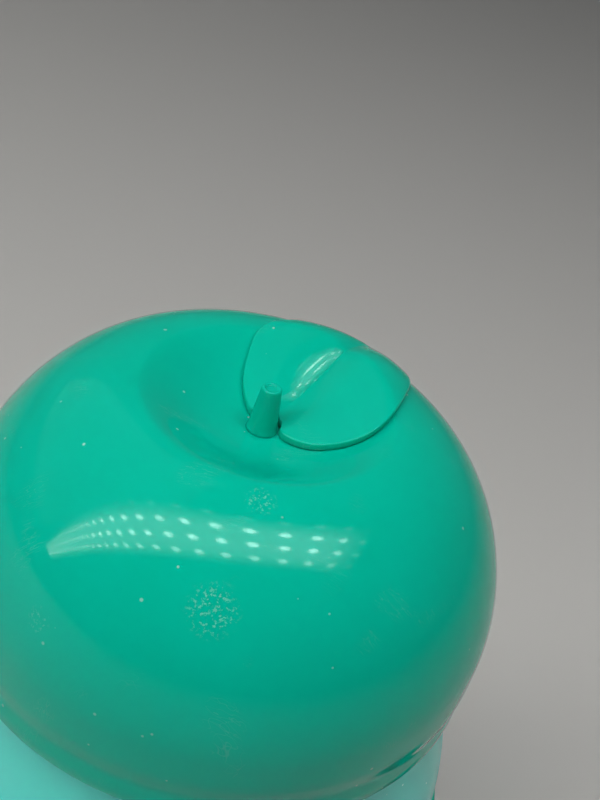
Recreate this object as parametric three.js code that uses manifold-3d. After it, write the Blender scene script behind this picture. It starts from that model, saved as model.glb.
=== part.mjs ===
// A toddler's two-handled sippy cup with an apple-shaped over-cap.
// Millimetres, +Z up. The origin is on the table at the middle of the foot.
import * as THREE from 'three';
import { mergeVertices } from 'three/addons/utils/BufferGeometryUtils.js';
import Module from 'manifold-3d';

const wasm = await Module();
wasm.setup();

// ---- driving dimensions ----------------------------------------------------
const touchGap = 0.3;            // left between pieces that touch
const slideGap = 0.5;            // left between pieces that slide past each other
const roundSides = 40;           // sides on large turned pieces
const smallSides = 20;           // sides on small turned pieces

// cup body
const cupHeight = 89.6;          // table to the rim of the neck
const cupWall = 2.0;
const neckRadius = 35.8;
const neckHeight = 25.4;         // shoulder to the rim
const shoulderWidth = 6.8;       // neck to the outside of the shoulder
const waistInset = 4.6;          // how far the side has drawn in at the waist
const waistDrop = 22.2;          // shoulder to the waist
const footInset = 11.1;          // how far the side has drawn in at the foot
const floorHeight = 6.0;         // top of the cup's floor
const bootHeight = 9.5;
const bootWall = 1.7;
const bootFaceWidth = 12.5;      // width of the ring that stands on the table

// screw thread between neck and collar
const threadPitch = 5;
const threadDepth = 1.2;
const threadWidth = 1.6;
const threadDrop = 10.1;         // rim to the middle of the neck thread's lower end
const neckThreadTurns = 1.25;
const collarThreadTurns = 1.05;
const threadClearance = 0.6;     // crest to the wall that it faces

// handle frame
const ringThickness = 6.2;
const ringWidth = 7.8;           // neck to the outside of the ring
const loopOffset = 0.2;          // ring to the loop's inner limb
const loopDrop = 8;              // underside of the ring to the top of a loop
const loopWidth = 33;          // across one loop, inside limb to outside limb
const handleDrop = 40;           // height of one handle loop
const handleLimb = 6.4;          // width of the loop's limbs, seen from the side
const handleDepth = 9;           // across the loop, front to back
const linkLength = 6;            // block that hangs a loop from the ring
const linkHeight = 16.5;
const linkStandout = 2.4;        // ring to the outside of the block
const gripWall = 1.5;
const gripGap = 0.35;

// collar
const collarTopWidth = 4.2;      // neck to the outside of the collar's top
const collarFlare = 4.5;         // how much wider the collar is at its foot
const collarWall = 1.9;
const collarFlange = 2.1;        // thickness of the flange that holds the lid plate down
const spigotHeight = 4.6;
const spigotWall = 1.8;

// lid, seal and spout
const gasketThickness = 1.5;
const gasketWidth = 2.9;
const plateThickness = 1.6;
const spoutHoleRadius = 12.4;
const spoutHeight = 29;
const spoutBaseRadius = 15.4;
const spoutTipRadius = 8.6;
const spoutWall = 1.5;
const spoutFlatness = 0.78;      // front-to-back size of the spout over its width
const drinkHoleRadius = 0.9;
const drinkHoleSpacing = 3.4;
const socketWall = 1.6;
const socketDepth = 8.2;
const valveWall = 1.4;
const ventHoleRadius = 2.0;

// over-cap
const skirtOverhang = 1.4;       // skirt's edge beyond the collar's top
const capBulge = 0.6;            // how much wider the cover is at its widest
const capHeight = 41.1;          // skirt edge to the crest round the dimple
const capWidestHeight = 12.3;
const capWall = 1.8;
const crestInset = 23.1;         // widest point to the crest round the dimple
const capLowerPower = 4.4;       // how late the side turns in towards the skirt
const capUpperPower = 1.83;      // roundness of the shoulder
const skirtValleyHeight = 4.4;
const skirtValleyDepth = 0.75;
const dimpleDepth = 5.2;
const dimpleFloorRadius = 3.4;
const dimpleSharpness = 0.8;     // how soon the dimple drops away from its crest
const dimplePower = 1.7;

// stem, leaf and clip on the over-cap
const stemHeight = 7.4;          // above the dimple's floor
const stemFootRadius = 2.15;
const stemTipRadius = 1.5;
const stemFlare = 0.25;          // small cove where the stem meets the floor
const pegRadius = 1.3;
const pegDrop = 4.6;             // below the top of the dimple's floor
const clipRadius = 3.6;
const clipThickness = 1.2;
const leafDirection = 60;        // degrees from +X, the way the leaf's midrib runs
const leafEdge = 1.3;            // thickness of the leaf at its edge
const leafWall = 2.0;            // and below its lobes
const leafHover = 0.35;          // gap between the leaf's edge and the over-cap
const leafLeftLobe = 1.9;        // how far each lobe swells above the edge
const leafRightLobe = 1.7;
const leafRootOffset = 3.0;      // stem's axis to the origin of the leaf's outline

// ---- sizes that follow from these --------------------------------------------
const shoulderHeight = cupHeight - neckHeight;
const shoulderRadius = neckRadius + shoulderWidth;
const waistHeight = shoulderHeight - waistDrop;
const waistRadius = shoulderRadius - waistInset;
const footRadius = shoulderRadius - footInset;
const bootHoleRadius = footRadius - bootFaceWidth;
const threadStart = cupHeight - threadDrop;
const ringRadius = neckRadius + ringWidth;
const handleInnerRadius = ringRadius + loopOffset;
const linkReach = ringRadius + linkStandout;
const handleReach = handleInnerRadius + loopWidth;
const collarTopRadius = neckRadius + collarTopWidth;
const collarFootRadius = collarTopRadius + collarFlare;
const capSkirtRadius = collarTopRadius + skirtOverhang;
const capRadius = capSkirtRadius + capBulge;
const capCrestRadius = capRadius - crestInset;
const gasketBase = cupHeight + touchGap;
const plateBase = gasketBase + gasketThickness + touchGap;
const plateTop = plateBase + plateThickness;
const flangeBase = plateTop + touchGap;
const collarTop = flangeBase + collarFlange;
const ringBase = shoulderHeight + touchGap;
const ringTop = ringBase + ringThickness;
const collarBase = ringTop + touchGap;
const collarHeight = collarTop - collarBase;
const capBase = collarTop + touchGap;
const collarBore = neckRadius + threadDepth + threadClearance;
const plateRadius = collarBore - slideGap;
const flangeHoleRadius = neckRadius - cupWall;

// ---- shared tools ------------------------------------------------------------
function turned(profile, sides = roundSides) {
  const points = profile.map(([r, z]) => new THREE.Vector2(r, z));
  const geometry = new THREE.LatheGeometry(points, sides);
  geometry.rotateX(Math.PI / 2);
  return geometry;
}

function turnedRing(profile, sides = roundSides) {
  return turned([...profile, profile[0]], sides);
}

function solid(geometry) {
  const bare = geometry.index ? geometry.clone() : mergeVertices(geometry.clone());
  bare.deleteAttribute('normal');
  bare.deleteAttribute('uv');
  const merged = mergeVertices(bare, 1e-4);
  const mesh = new wasm.Mesh({
    numProp: 3,
    vertProperties: new Float32Array(merged.attributes.position.array),
    triVerts: new Uint32Array(merged.index.array),
  });
  return new wasm.Manifold(mesh);
}

function shell(body) {
  const mesh = body.getMesh();
  const geometry = new THREE.BufferGeometry();
  geometry.setAttribute('position', new THREE.BufferAttribute(mesh.vertProperties, 3));
  geometry.setIndex(new THREE.BufferAttribute(mesh.triVerts, 1));
  geometry.computeVertexNormals();
  return geometry;
}

function cylinder(radius, low, high, sides = smallSides) {
  const geometry = new THREE.CylinderGeometry(radius, radius, high - low, sides);
  geometry.rotateX(Math.PI / 2);
  geometry.translate(0, 0, (low + high) / 2);
  return geometry;
}

function moved(geometry, x, y, z) {
  geometry.translate(x, y, z);
  return geometry;
}

// A helical ridge: a straight trapezoid bar, bent round the axis and raised by the pitch.
function threadRidge(rootRadius, crestRadius, startHeight, startTurn, turns) {
  const halfRoot = threadWidth / 2;
  const halfCrest = threadWidth / 4;
  const outward = Math.sign(crestRadius - rootRadius);
  const section = new THREE.Shape([
    new THREE.Vector2(-halfRoot * outward, rootRadius),
    new THREE.Vector2(halfRoot * outward, rootRadius),
    new THREE.Vector2(halfCrest * outward, crestRadius),
    new THREE.Vector2(-halfCrest * outward, crestRadius),
  ]);
  const steps = Math.round(turns * roundSides);
  const bar = new THREE.ExtrudeGeometry(section, { depth: turns, steps, bevelEnabled: false });
  const place = bar.attributes.position;
  const lead = 0.12;             // turns over which each end fades in
  for (let i = 0; i < place.count; i += 1) {
    const turn = place.getZ(i);
    const fade = Math.min(1, 0.3 + turn / lead, 0.3 + (turns - turn) / lead);
    const radius = rootRadius + (place.getY(i) - rootRadius) * fade;
    const angle = (turn + startTurn) * 2 * Math.PI;
    const height = startHeight + place.getX(i) + threadPitch * (turn + startTurn);
    place.setXYZ(i, radius * Math.cos(angle), radius * Math.sin(angle), height);
  }
  return bar;
}

// ---- over-cap profile ----------------------------------------------------------
// Outer outline from the skirt's edge up to the dimple's floor, heights above the skirt.
function capOutline(inset, lowerSteps, upperSteps, dimpleSteps) {
  const points = [];
  for (let i = 0; i <= lowerSteps; i += 1) {
    const height = capWidestHeight * (i / lowerSteps);
    const turnIn = ((capWidestHeight - height) / capWidestHeight) ** capLowerPower;
    const valley = Math.exp(-(((height - skirtValleyHeight) / 2.2) ** 2)) * skirtValleyDepth;
    points.push([capRadius - (capRadius - capSkirtRadius) * turnIn - valley - inset, height]);
  }
  const crest = capHeight - inset;
  for (let i = 1; i <= upperSteps; i += 1) {
    const angle = (i / upperSteps) * Math.PI / 2;
    const reach = Math.cos(angle) ** (2 / capUpperPower);
    const rise = Math.sin(angle) ** (2 / capUpperPower);
    points.push([
      capCrestRadius + (capRadius - inset - capCrestRadius) * reach,
      capWidestHeight + (crest - capWidestHeight) * rise,
    ]);
  }
  for (let i = 1; i <= dimpleSteps; i += 1) {
    const part = i / dimpleSteps;
    const sink = dimpleDepth * Math.sin(part ** dimpleSharpness * Math.PI / 2) ** dimplePower;
    points.push([capCrestRadius + (dimpleFloorRadius - capCrestRadius) * part, crest - sink]);
  }
  return points;
}

const dimpleFloor = capBase + capHeight - dimpleDepth;
const capInside = capOutline(capWall, 3, 7, 5);
const spigotRadius = Math.min(...capInside.slice(0, 4).map(([r]) => r)) - slideGap;

const capTopLine = capOutline(0, 6, 48, 48).slice(6);

function capTopHeight(radius) {
  for (let i = 1; i < capTopLine.length; i += 1) {
    const [innerRadius, innerHeight] = capTopLine[i];
    const [outerRadius, outerHeight] = capTopLine[i - 1];
    if (radius >= innerRadius && radius <= outerRadius) {
      const part = (radius - innerRadius) / (outerRadius - innerRadius);
      return capBase + innerHeight + (outerHeight - innerHeight) * part;
    }
  }
  return dimpleFloor;
}

function makeCap() {
  const outer = capOutline(0, 6, 9, 7);
  const inner = capInside.slice().reverse();
  const pegHole = pegRadius + touchGap;
  const lift = ([r, z]) => [r, z + capBase];
  const floorTop = outer[outer.length - 1][1];
  const floorUnder = floorTop - capWall;
  const profile = [
    ...outer.map(lift),
    lift([pegHole, floorTop]),
    lift([pegHole, floorUnder]),
    ...inner.map(lift),
  ];
  const leafPegHole = cylinder(pegRadius + touchGap, dimpleFloor - 6, dimpleFloor + 8, 12);
  moved(leafPegHole, ...leafPegPlace(), 0);
  return shell(solid(turnedRing(profile)).subtract(solid(leafPegHole)));
}

function leafPegPlace() {
  const angle = THREE.MathUtils.degToRad(leafDirection);
  const reach = leafRootOffset + 3.4;
  return [reach * Math.cos(angle), reach * Math.sin(angle)];
}

function makeStem() {
  const foot = dimpleFloor + touchGap;
  const top = dimpleFloor + stemHeight;
  return turned([
    [0, dimpleFloor - pegDrop],
    [pegRadius, dimpleFloor - pegDrop],
    [pegRadius, foot],
    [stemFootRadius + stemFlare, foot],
    [stemFootRadius, foot + 0.8],
    [stemTipRadius, top - 0.35],
    [stemTipRadius - 0.3, top],
    [stemTipRadius - 0.6, top],
    [stemTipRadius - 0.8, top - 0.25],
    [0, top - 0.25],
  ], smallSides);
}

function makeStemClip() {
  const top = dimpleFloor - capWall - touchGap;
  const bore = pegRadius + 0.1;
  return turnedRing([
    [bore, top - clipThickness],
    [clipRadius, top - clipThickness],
    [clipRadius, top],
    [bore, top],
  ], smallSides);
}

// Leaf outline in its own frame: first along the midrib, then across to the right.
const leafOutline = new THREE.CatmullRomCurve3([
  [0.4, 0], [-1.6, -2.4], [-1.9, -3.6], [1.3, -7.6], [4.7, -10.1], [8.7, -12], [12.9, -11.8],
  [18.2, -9.4], [22.2, -5], [23.6, -1.8], [23.2, 0], [24.3, 3], [23, 7], [20.4, 9.9],
  [14.6, 12.3], [8.9, 13.8], [4.4, 13.8], [1.2, 12.4], [-0.9, 10.1], [-2.1, 8], [-2.8, 4.8],
  [-2.4, 2.6],
].map(([along, across]) => new THREE.Vector3(along, across, 0)), true);
const leafCentre = [9, 0];

// How far the leaf's top stands above the over-cap. The left lobe rolls down into the midrib.
function leafRise(across, reach) {
  const leftSwell = (1 - Math.exp(across / 0.9)) * leafLeftLobe;
  const rightSwell = Math.sin(Math.min(1, across / 6) * Math.PI / 2) * leafRightLobe;
  const swell = (across < 0 ? leftSwell : rightSwell) * (1 - reach ** 3);
  return leafHover + leafEdge + swell;
}

function makeLeaf() {
  const geometry = new THREE.SphereGeometry(1, 36, 12);
  geometry.rotateX(Math.PI / 2);
  const place = geometry.attributes.position;
  const outline = leafOutline.getPoints(360);
  const angleOf = (p) => Math.atan2(p.y - leafCentre[1], p.x - leafCentre[0]);
  const turn = THREE.MathUtils.degToRad(leafDirection);
  for (let i = 0; i < place.count; i += 1) {
    const [x, y, z] = [place.getX(i), place.getY(i), place.getZ(i)];
    const reach = Math.min(1, Math.hypot(x, y));
    const angle = Math.atan2(-y, x);
    let edge = outline[0];
    for (const point of outline) {
      const better = Math.abs(Math.sin((angleOf(point) - angle) / 2));
      const best = Math.abs(Math.sin((angleOf(edge) - angle) / 2));
      edge = better < best ? point : edge;
    }
    const along = leafCentre[0] + (edge.x - leafCentre[0]) * reach;
    const across = leafCentre[1] + (edge.y - leafCentre[1]) * reach;
    const px = (along + leafRootOffset) * Math.cos(turn) + across * Math.sin(turn);
    const py = (along + leafRootOffset) * Math.sin(turn) - across * Math.cos(turn);
    const rest = capTopHeight(Math.hypot(px, py));
    const rise = leafRise(across, reach);
    const under = Math.max(leafHover, rise - leafWall);
    const side = Math.sign(z) * Math.sqrt(Math.abs(z)) * 0.5 + 0.5;
    place.setXYZ(i, px, py, rest + under + (rise - under) * side);
  }
  const [pegX, pegY] = leafPegPlace();
  const pegTop = capTopHeight(Math.hypot(pegX, pegY)) + leafHover + leafEdge / 2;
  const peg = moved(cylinder(pegRadius, dimpleFloor - 2.2, pegTop, 12), pegX, pegY, 0);
  const stemRoom = cylinder(stemFootRadius + stemFlare + touchGap, dimpleFloor - 9, dimpleFloor + 20, 24);
  return shell(solid(geometry).subtract(solid(stemRoom)).add(solid(peg)));
}

// ---- cup, collar, lid ------------------------------------------------------------
function makeCupBody() {
  const bootRecess = bootWall + touchGap;
  const foot = footRadius - bootRecess;
  const bottom = bootWall + touchGap;
  const inShoulder = shoulderHeight - cupWall;
  const profile = [
    [0, bottom + 1.2],
    [bootHoleRadius - 3, bottom + 1.2],
    [bootHoleRadius - 1, bottom],
    [foot - 2, bottom],
    [foot, bottom + 2],
    [foot + 0.6, bootHeight + touchGap],
    [footRadius + 0.7, bootHeight + touchGap],
    [(footRadius + waistRadius) / 2 + 0.6, (bootHeight + waistHeight) / 2],
    [waistRadius, waistHeight],
    [(waistRadius + shoulderRadius) / 2 + 0.5, (waistHeight + shoulderHeight) / 2],
    [shoulderRadius, shoulderHeight - 3],
    [shoulderRadius, shoulderHeight],
    [neckRadius, shoulderHeight],
    [neckRadius, cupHeight],
    [neckRadius - cupWall, cupHeight],
    [neckRadius - cupWall, inShoulder],
    [shoulderRadius - cupWall - 0.6, inShoulder - 3],
    [waistRadius - cupWall, waistHeight],
    [foot - cupWall + 0.6, floorHeight + 6],
    [foot - cupWall - 4, floorHeight],
    [0, floorHeight],
  ];
  const root = neckRadius - 0.6;
  const ridge = threadRidge(root, neckRadius + threadDepth, threadStart, 0, neckThreadTurns);
  return shell(solid(turned(profile)).add(solid(ridge)));
}

function makeBaseBoot() {
  const inside = footRadius - bootWall;
  return turnedRing([
    [bootHoleRadius, 0],
    [footRadius - 1.2, 0],
    [footRadius, 1.2],
    [footRadius + 0.5, bootHeight],
    [inside + 0.6, bootHeight],
    [inside, bootWall + 2],
    [inside - 2, bootWall],
    [bootHoleRadius, bootWall],
  ]);
}

function makeCollar() {
  const skin = (t) => [
    collarTopRadius + (collarFootRadius - collarTopRadius) * Math.sin(t * Math.PI / 2) ** 2,
    collarTop - collarHeight * t,
  ];
  const outside = [0, 0.17, 0.34, 0.5, 0.66, 0.83, 1].map(skin);
  const wallOutside = collarBore + 1.6;
  const grooveTop = collarTop - collarHeight * 0.42;
  const profile = [
    ...outside,
    [collarFootRadius - collarWall, collarBase],
    [skin(0.7)[0] - collarWall, skin(0.7)[1]],
    [wallOutside + 0.3, grooveTop],
    [wallOutside, grooveTop - 0.5],
    [wallOutside, collarBase + 2],
    [collarBore, collarBase + 2],
    [collarBore, flangeBase],
    [flangeHoleRadius, flangeBase],
    [flangeHoleRadius, collarTop],
    [spigotRadius - spigotWall, collarTop + 0.4],
    [spigotRadius - spigotWall, collarTop + spigotHeight],
    [spigotRadius - 0.5, collarTop + spigotHeight],
    [spigotRadius, collarTop + spigotHeight - 0.7],
    [spigotRadius, collarTop],
  ];
  const root = collarBore + 0.6;
  const ridge = threadRidge(root, collarBore - threadDepth, threadStart - threadPitch / 2,
    0.2, collarThreadTurns);
  return shell(solid(turnedRing(profile.reverse())).add(solid(ridge)));
}

function makeGasket() {
  return turnedRing([
    [neckRadius - gasketWidth + 1.2, gasketBase],
    [neckRadius + 1.2, gasketBase],
    [neckRadius + 1.2, gasketBase + gasketThickness],
    [neckRadius - gasketWidth + 1.2, gasketBase + gasketThickness],
  ]);
}

const socketRadius = spoutBaseRadius + touchGap + 0.1;
const ventOffset = (socketRadius + socketWall + flangeHoleRadius) / 2;   // cup's axis to the vent

function makeLidPlate() {
  const socketFoot = plateBase - socketDepth;
  const body = solid(turnedRing([
    [spoutHoleRadius, plateBase],
    [socketRadius, plateBase],
    [socketRadius, socketFoot],
    [socketRadius + socketWall, socketFoot],
    [socketRadius + socketWall, plateBase],
    [plateRadius, plateBase],
    [plateRadius, plateTop],
    [spoutHoleRadius, plateTop],
  ]));
  const ventHole = moved(cylinder(ventHoleRadius, plateBase - 1, plateTop + 1, 12), 0, ventOffset, 0);
  return shell(body.subtract(solid(ventHole)));
}

function makeSpout() {
  const lipTop = plateBase - touchGap;
  const lipBase = lipTop - 1.5;
  const neck = spoutHoleRadius - touchGap;
  const shoulder = plateTop + touchGap;
  const top = plateTop + spoutHeight;
  const bore = neck - spoutWall;
  const geometry = turnedRing([
    [bore, lipBase],
    [spoutBaseRadius, lipBase],
    [spoutBaseRadius, lipTop],
    [neck, lipTop],
    [neck, shoulder],
    [spoutBaseRadius, shoulder],
    [spoutBaseRadius - 0.4, shoulder + 1.4],
    [spoutTipRadius + 2.6, shoulder + 7],
    [spoutTipRadius + 0.3, shoulder + 14],
    [spoutTipRadius, top - 8],
    [spoutTipRadius + 0.5, top - 4.5],
    [spoutTipRadius - 0.8, top - 1.6],
    [spoutTipRadius * 0.6, top],
    [0.02, top],
    [0.02, top - spoutWall],
    [spoutTipRadius * 0.6 - 0.5, top - spoutWall],
    [spoutTipRadius - 0.8 - spoutWall, top - 1.6 - spoutWall],
    [spoutTipRadius - spoutWall, top - 8],
    [spoutTipRadius + 0.3 - spoutWall, shoulder + 14],
    [bore, shoulder + 4],
  ], 24);
  return geometry;
}

function finishSpout(geometry) {
  const place = geometry.attributes.position;
  const free = plateTop + 2;
  const top = plateTop + spoutHeight;
  for (let i = 0; i < place.count; i += 1) {
    const rise = THREE.MathUtils.clamp((place.getZ(i) - free) / 12, 0, 1);
    place.setY(i, place.getY(i) * (1 - (1 - spoutFlatness) * rise));
  }
  let body = solid(geometry);
  const plug = solid(cylinder(0.6, top - spoutWall, top, 8));
  body = body.add(plug);
  for (const side of [-1, 0, 1]) {
    const hole = cylinder(drinkHoleRadius, top - spoutWall - 2, top + 1, 8);
    body = body.subtract(solid(moved(hole, side * drinkHoleSpacing, 0, 0)));
  }
  return shell(body);
}

function makeFlowValve() {
  const top = plateBase - touchGap - 1.5 - touchGap;
  const outside = socketRadius - touchGap;
  const rimTop = plateBase - socketDepth - touchGap;
  const rimBase = rimTop - 1.5;
  const body = solid(turned([
    [0, rimBase + 1.6],
    [4.2, rimBase + 1.6],
    [outside - valveWall - 1, rimBase],
    [socketRadius + socketWall, rimBase],
    [socketRadius + socketWall, rimTop],
    [outside, rimTop],
    [outside, top],
    [outside - valveWall, top],
    [outside - valveWall, rimTop + 0.4],
    [4.2, rimTop + 1.8],
    [0, rimTop + 1.8],
  ], 32));
  const slitAcross = solid(moved(new THREE.BoxGeometry(5, 0.5, 20), 0, 0, rimBase));
  const slitAlong = solid(moved(new THREE.BoxGeometry(0.5, 5, 20), 0, 0, rimBase));
  const tab = new THREE.BoxGeometry(6, 1.6, 7);
  const pull = solid(moved(tab, 0, 11, rimBase - 2.5));
  return shell(body.subtract(slitAcross).subtract(slitAlong).add(pull));
}

function makeVentValve() {
  const head = plateTop + touchGap;
  const under = plateBase - touchGap;
  const geometry = turned([
    [0, under - 4],
    [1.0, under - 4],
    [3.0, under],
    [ventHoleRadius - touchGap, under],
    [ventHoleRadius - touchGap, head],
    [3.4, head],
    [3.0, head + 1.0],
    [0, head + 1.2],
  ], 12);
  return moved(geometry, 0, ventOffset, 0);
}

// ---- handles ------------------------------------------------------------------------
// The side view of one loop, in X and Z, grown or shrunk by an offset.
function loopOutline(offset) {
  const inside = handleInnerRadius - offset;
  const outside = handleReach + offset;
  const top = ringBase - loopDrop + offset;
  const bottom = ringBase - loopDrop - handleDrop - offset;
  const width = outside - inside;
  const height = top - bottom;
  const shape = new THREE.Shape();
  shape.moveTo(inside, top);
  shape.bezierCurveTo(inside + width * 0.4, top, outside, top - height * 0.08,
    outside, top - height * 0.45);
  shape.bezierCurveTo(outside, bottom + height * 0.2, outside - width * 0.3, bottom,
    inside + width * 0.35, bottom);
  shape.bezierCurveTo(inside + width * 0.1, bottom, inside, bottom + height * 0.08,
    inside, bottom + height * 0.25);
  shape.closePath();
  return shape;
}

function plateFrom(shape, depth, bevel) {
  const geometry = new THREE.ExtrudeGeometry(shape, {
    depth: depth - 2 * bevel,
    bevelThickness: bevel,
    bevelSize: bevel,
    bevelOffset: -bevel,
    bevelSegments: bevel > 0 ? 2 : 0,
    bevelEnabled: bevel > 0,
    curveSegments: 7,
  });
  geometry.translate(0, 0, bevel - depth / 2);
  geometry.rotateX(Math.PI / 2);
  return solid(geometry);
}

function loopSolid(grow) {
  const depth = handleDepth + 2 * grow;
  const outer = plateFrom(loopOutline(grow), depth, 2.4);
  const finger = plateFrom(loopOutline(-handleLimb - grow), depth + 4, 0);
  return outer.subtract(finger);
}

function makeHandleFrame() {
  const bore = neckRadius + touchGap;
  let body = solid(turnedRing([
    [bore, ringBase],
    [ringRadius, ringBase],
    [ringRadius, ringTop],
    [bore, ringTop],
  ]));
  const link = new THREE.BoxGeometry(linkLength, handleDepth - 1, linkHeight);
  for (const side of [0, Math.PI]) {
    const arm = moved(link.clone(), linkReach - linkLength / 2, 0, ringBase + 2 - linkHeight / 2);
    const loop = loopSolid(0).add(solid(arm));
    body = body.add(loop.rotate([0, 0, THREE.MathUtils.radToDeg(side)]));
  }
  const neck = solid(cylinder(bore, ringBase - 20, ringTop + 20, roundSides));
  const shoulder = solid(cylinder(shoulderRadius + 0.5, ringBase - 40, ringBase - 0.01, roundSides));
  return shell(body.subtract(neck).subtract(shoulder));
}

function makeGrip() {
  const sleeve = loopSolid(gripWall).subtract(loopSolid(gripGap));
  const near = handleReach - 15;
  const reach = new THREE.BoxGeometry(40, 40, handleDrop - 12);
  const window = solid(moved(reach, near + 20, 0, ringBase - loopDrop - handleDrop / 2));
  return shell(sleeve.intersect(window));
}

// ---- materials and scene ----------------------------------------------------------------
const green = new THREE.MeshStandardMaterial({ color: 0x0f9f80, roughness: 0.22, metalness: 0 });
const aqua = new THREE.MeshStandardMaterial({ color: 0x5fc8b8, roughness: 0.25, metalness: 0 });
const clear = new THREE.MeshStandardMaterial({ color: 0xd8efe9, roughness: 0.3, metalness: 0 });
const silicone = new THREE.MeshStandardMaterial({ color: 0xe6f2ee, roughness: 0.6, metalness: 0 });
const softGrip = new THREE.MeshStandardMaterial({ color: 0x3fb8a2, roughness: 0.8, metalness: 0 });

const cup = new THREE.Group();
const lid = new THREE.Group();
const cover = new THREE.Group();
const group = new THREE.Group();
group.add(cup, lid, cover);

function piece(parent, name, geometry, material) {
  const mesh = new THREE.Mesh(geometry, material);
  mesh.name = name;
  parent.add(mesh);
  return mesh;
}

piece(cup, 'cup_body', makeCupBody(), aqua);
piece(cup, 'base_boot', makeBaseBoot(), softGrip);
piece(cup, 'handle_frame', makeHandleFrame(), green);
piece(cup, 'grip_right', makeGrip(), softGrip);
piece(cup, 'grip_left', makeGrip(), softGrip).rotation.z = Math.PI;
piece(lid, 'rim_gasket', makeGasket(), silicone);
piece(lid, 'lid_plate', makeLidPlate(), clear);
piece(lid, 'spout', finishSpout(makeSpout()), silicone);
piece(lid, 'flow_valve', makeFlowValve(), silicone);
piece(lid, 'vent_valve', makeVentValve(), silicone);
piece(lid, 'collar', makeCollar(), aqua);
piece(cover, 'cover_dome', makeCap(), green);
piece(cover, 'stem', makeStem(), green);
piece(cover, 'leaf', makeLeaf(), green);
piece(cover, 'stem_clip', makeStemClip(), clear);

export default group;
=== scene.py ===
"""Looks of a toddler's sippy cup: apple-shaped cover, screw collar, soft spout, cup and two handles."""

import math

import bmesh
import bpy
import numpy as np
from mathutils import Matrix, Vector


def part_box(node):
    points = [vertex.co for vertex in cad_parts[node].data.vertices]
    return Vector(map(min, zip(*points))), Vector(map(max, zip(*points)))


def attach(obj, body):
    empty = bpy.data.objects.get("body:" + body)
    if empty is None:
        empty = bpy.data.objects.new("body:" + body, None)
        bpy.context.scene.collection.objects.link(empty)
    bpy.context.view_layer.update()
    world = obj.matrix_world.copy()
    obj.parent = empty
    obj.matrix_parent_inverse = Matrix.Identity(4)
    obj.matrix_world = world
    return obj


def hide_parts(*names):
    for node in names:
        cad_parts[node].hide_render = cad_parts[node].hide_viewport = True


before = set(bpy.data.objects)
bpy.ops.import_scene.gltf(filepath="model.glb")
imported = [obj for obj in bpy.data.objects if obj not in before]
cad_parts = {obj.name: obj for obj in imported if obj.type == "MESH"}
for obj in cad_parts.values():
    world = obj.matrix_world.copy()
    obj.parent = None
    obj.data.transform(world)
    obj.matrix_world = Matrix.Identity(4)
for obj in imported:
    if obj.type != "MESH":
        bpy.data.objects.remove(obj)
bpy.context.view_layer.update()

MM = 0.001
FULL_TURN = 2 * math.pi


def node_height(node, top=False):
    """Height in millimetres of a CAD node's lowest or highest point."""
    low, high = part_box(node)
    return (high[2] if top else low[2]) / MM


def node_radius(node):
    """Largest distance from the cup's axis in millimetres, along Y."""
    low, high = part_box(node)
    return high[1] / MM


# ---- sizes in millimetres, taken from the frame where it gives them ----------

TOUCH_GAP = 0.3
SKIRT_HEIGHT = node_height("cover_dome")
COVER_RADIUS = node_radius("cover_dome")
COVER_CREST = node_height("cover_dome", top=True) - SKIRT_HEIGHT
COVER_WALL = 1.8
CREST_RADIUS = COVER_RADIUS - 23.1
WIDEST_HEIGHT = 12.3
DOME_FULLNESS = 1.83            # 2 is an ellipse, more is squarer
SKIRT_TURN_IN = 0.6
SKIRT_CURL = 4.4                # how late the skirt turns in
VALLEY_DEPTH = 0.42             # shallow valley above the skirt
VALLEY_HEIGHT = 4.4
VALLEY_WIDTH = 2.2
DIMPLE_DEPTH = 5.2
DIMPLE_FLOOR_RADIUS = 3.4
DIMPLE_SHARPNESS = 0.8
DIMPLE_POWER = 1.7
DIMPLE_FLOOR = COVER_CREST - DIMPLE_DEPTH
STEM_HEIGHT = 7.4

COLLAR_GAP = 0.12
COLLAR_TOP = SKIRT_HEIGHT - COLLAR_GAP
COLLAR_FOOT = node_height("collar")
COLLAR_TOP_RADIUS = COVER_RADIUS - 2.0
COLLAR_FOOT_RADIUS = node_radius("collar")
SPIGOT_TOP = node_height("collar", top=True)
SPIGOT_RADIUS = 38.85
SPIGOT_WALL = 1.8
COLLAR_SHELF = 93.6             # underside of the flange that holds the lid plate down

NECK_RADIUS = 35.8
THREAD_PITCH = 5.0
THREAD_DEPTH = 1.2
THREAD_START = 79.5
COLLAR_BORE = NECK_RADIUS + THREAD_DEPTH + 0.6
CUP_RIM = 89.6
SHOULDER_HEIGHT = 64.2
SHOULDER_RADIUS = 42.6
WAIST_HEIGHT = 42.0
WAIST_RADIUS = 38.0
FOOT_RADIUS = 31.5
BOOT_HEIGHT = node_height("base_boot", top=True)
CUP_WALL = 2.0

PLATE_TOP = node_height("lid_plate", top=True)
PLATE_BASE = PLATE_TOP - 1.6
SPOUT_TOP = node_height("spout", top=True)
VENT_OFFSET = 25.6
SOCKET_RADIUS = 15.8
SOCKET_WALL = 1.6

RING_BASE = SHOULDER_HEIGHT + TOUCH_GAP
RING_TOP = node_height("handle_frame", top=True)
RING_RADIUS = 43.6
LOOP_INSIDE = RING_RADIUS + 0.2
LOOP_WIDTH = 33.0
LOOP_TOP = RING_BASE - 8.0
LOOP_HEIGHT = 40.0
LINK_REACH = 46.0
LINK_HANG = 14.5                # link below the ring's underside
LINK_HALF_WIDTH = 4
LIMB_WIDTH = 6.4
LIMB_DEPTH = 9.0
GRIP_WALL = 1.45


# ---- camera -------------------------------------------------------------------

CAMERA_ELEVATION = 44.18       # degrees above the cover's skirt
CAMERA_DISTANCE = 4.884        # cover radii from the middle of the skirt
AIM_SIDEWAYS = -1.39           # degrees that the view turns off the skirt's middle
AIM_UP = 9.84
CAMERA_ROLL = -14.83
LENS = 56.25


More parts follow.
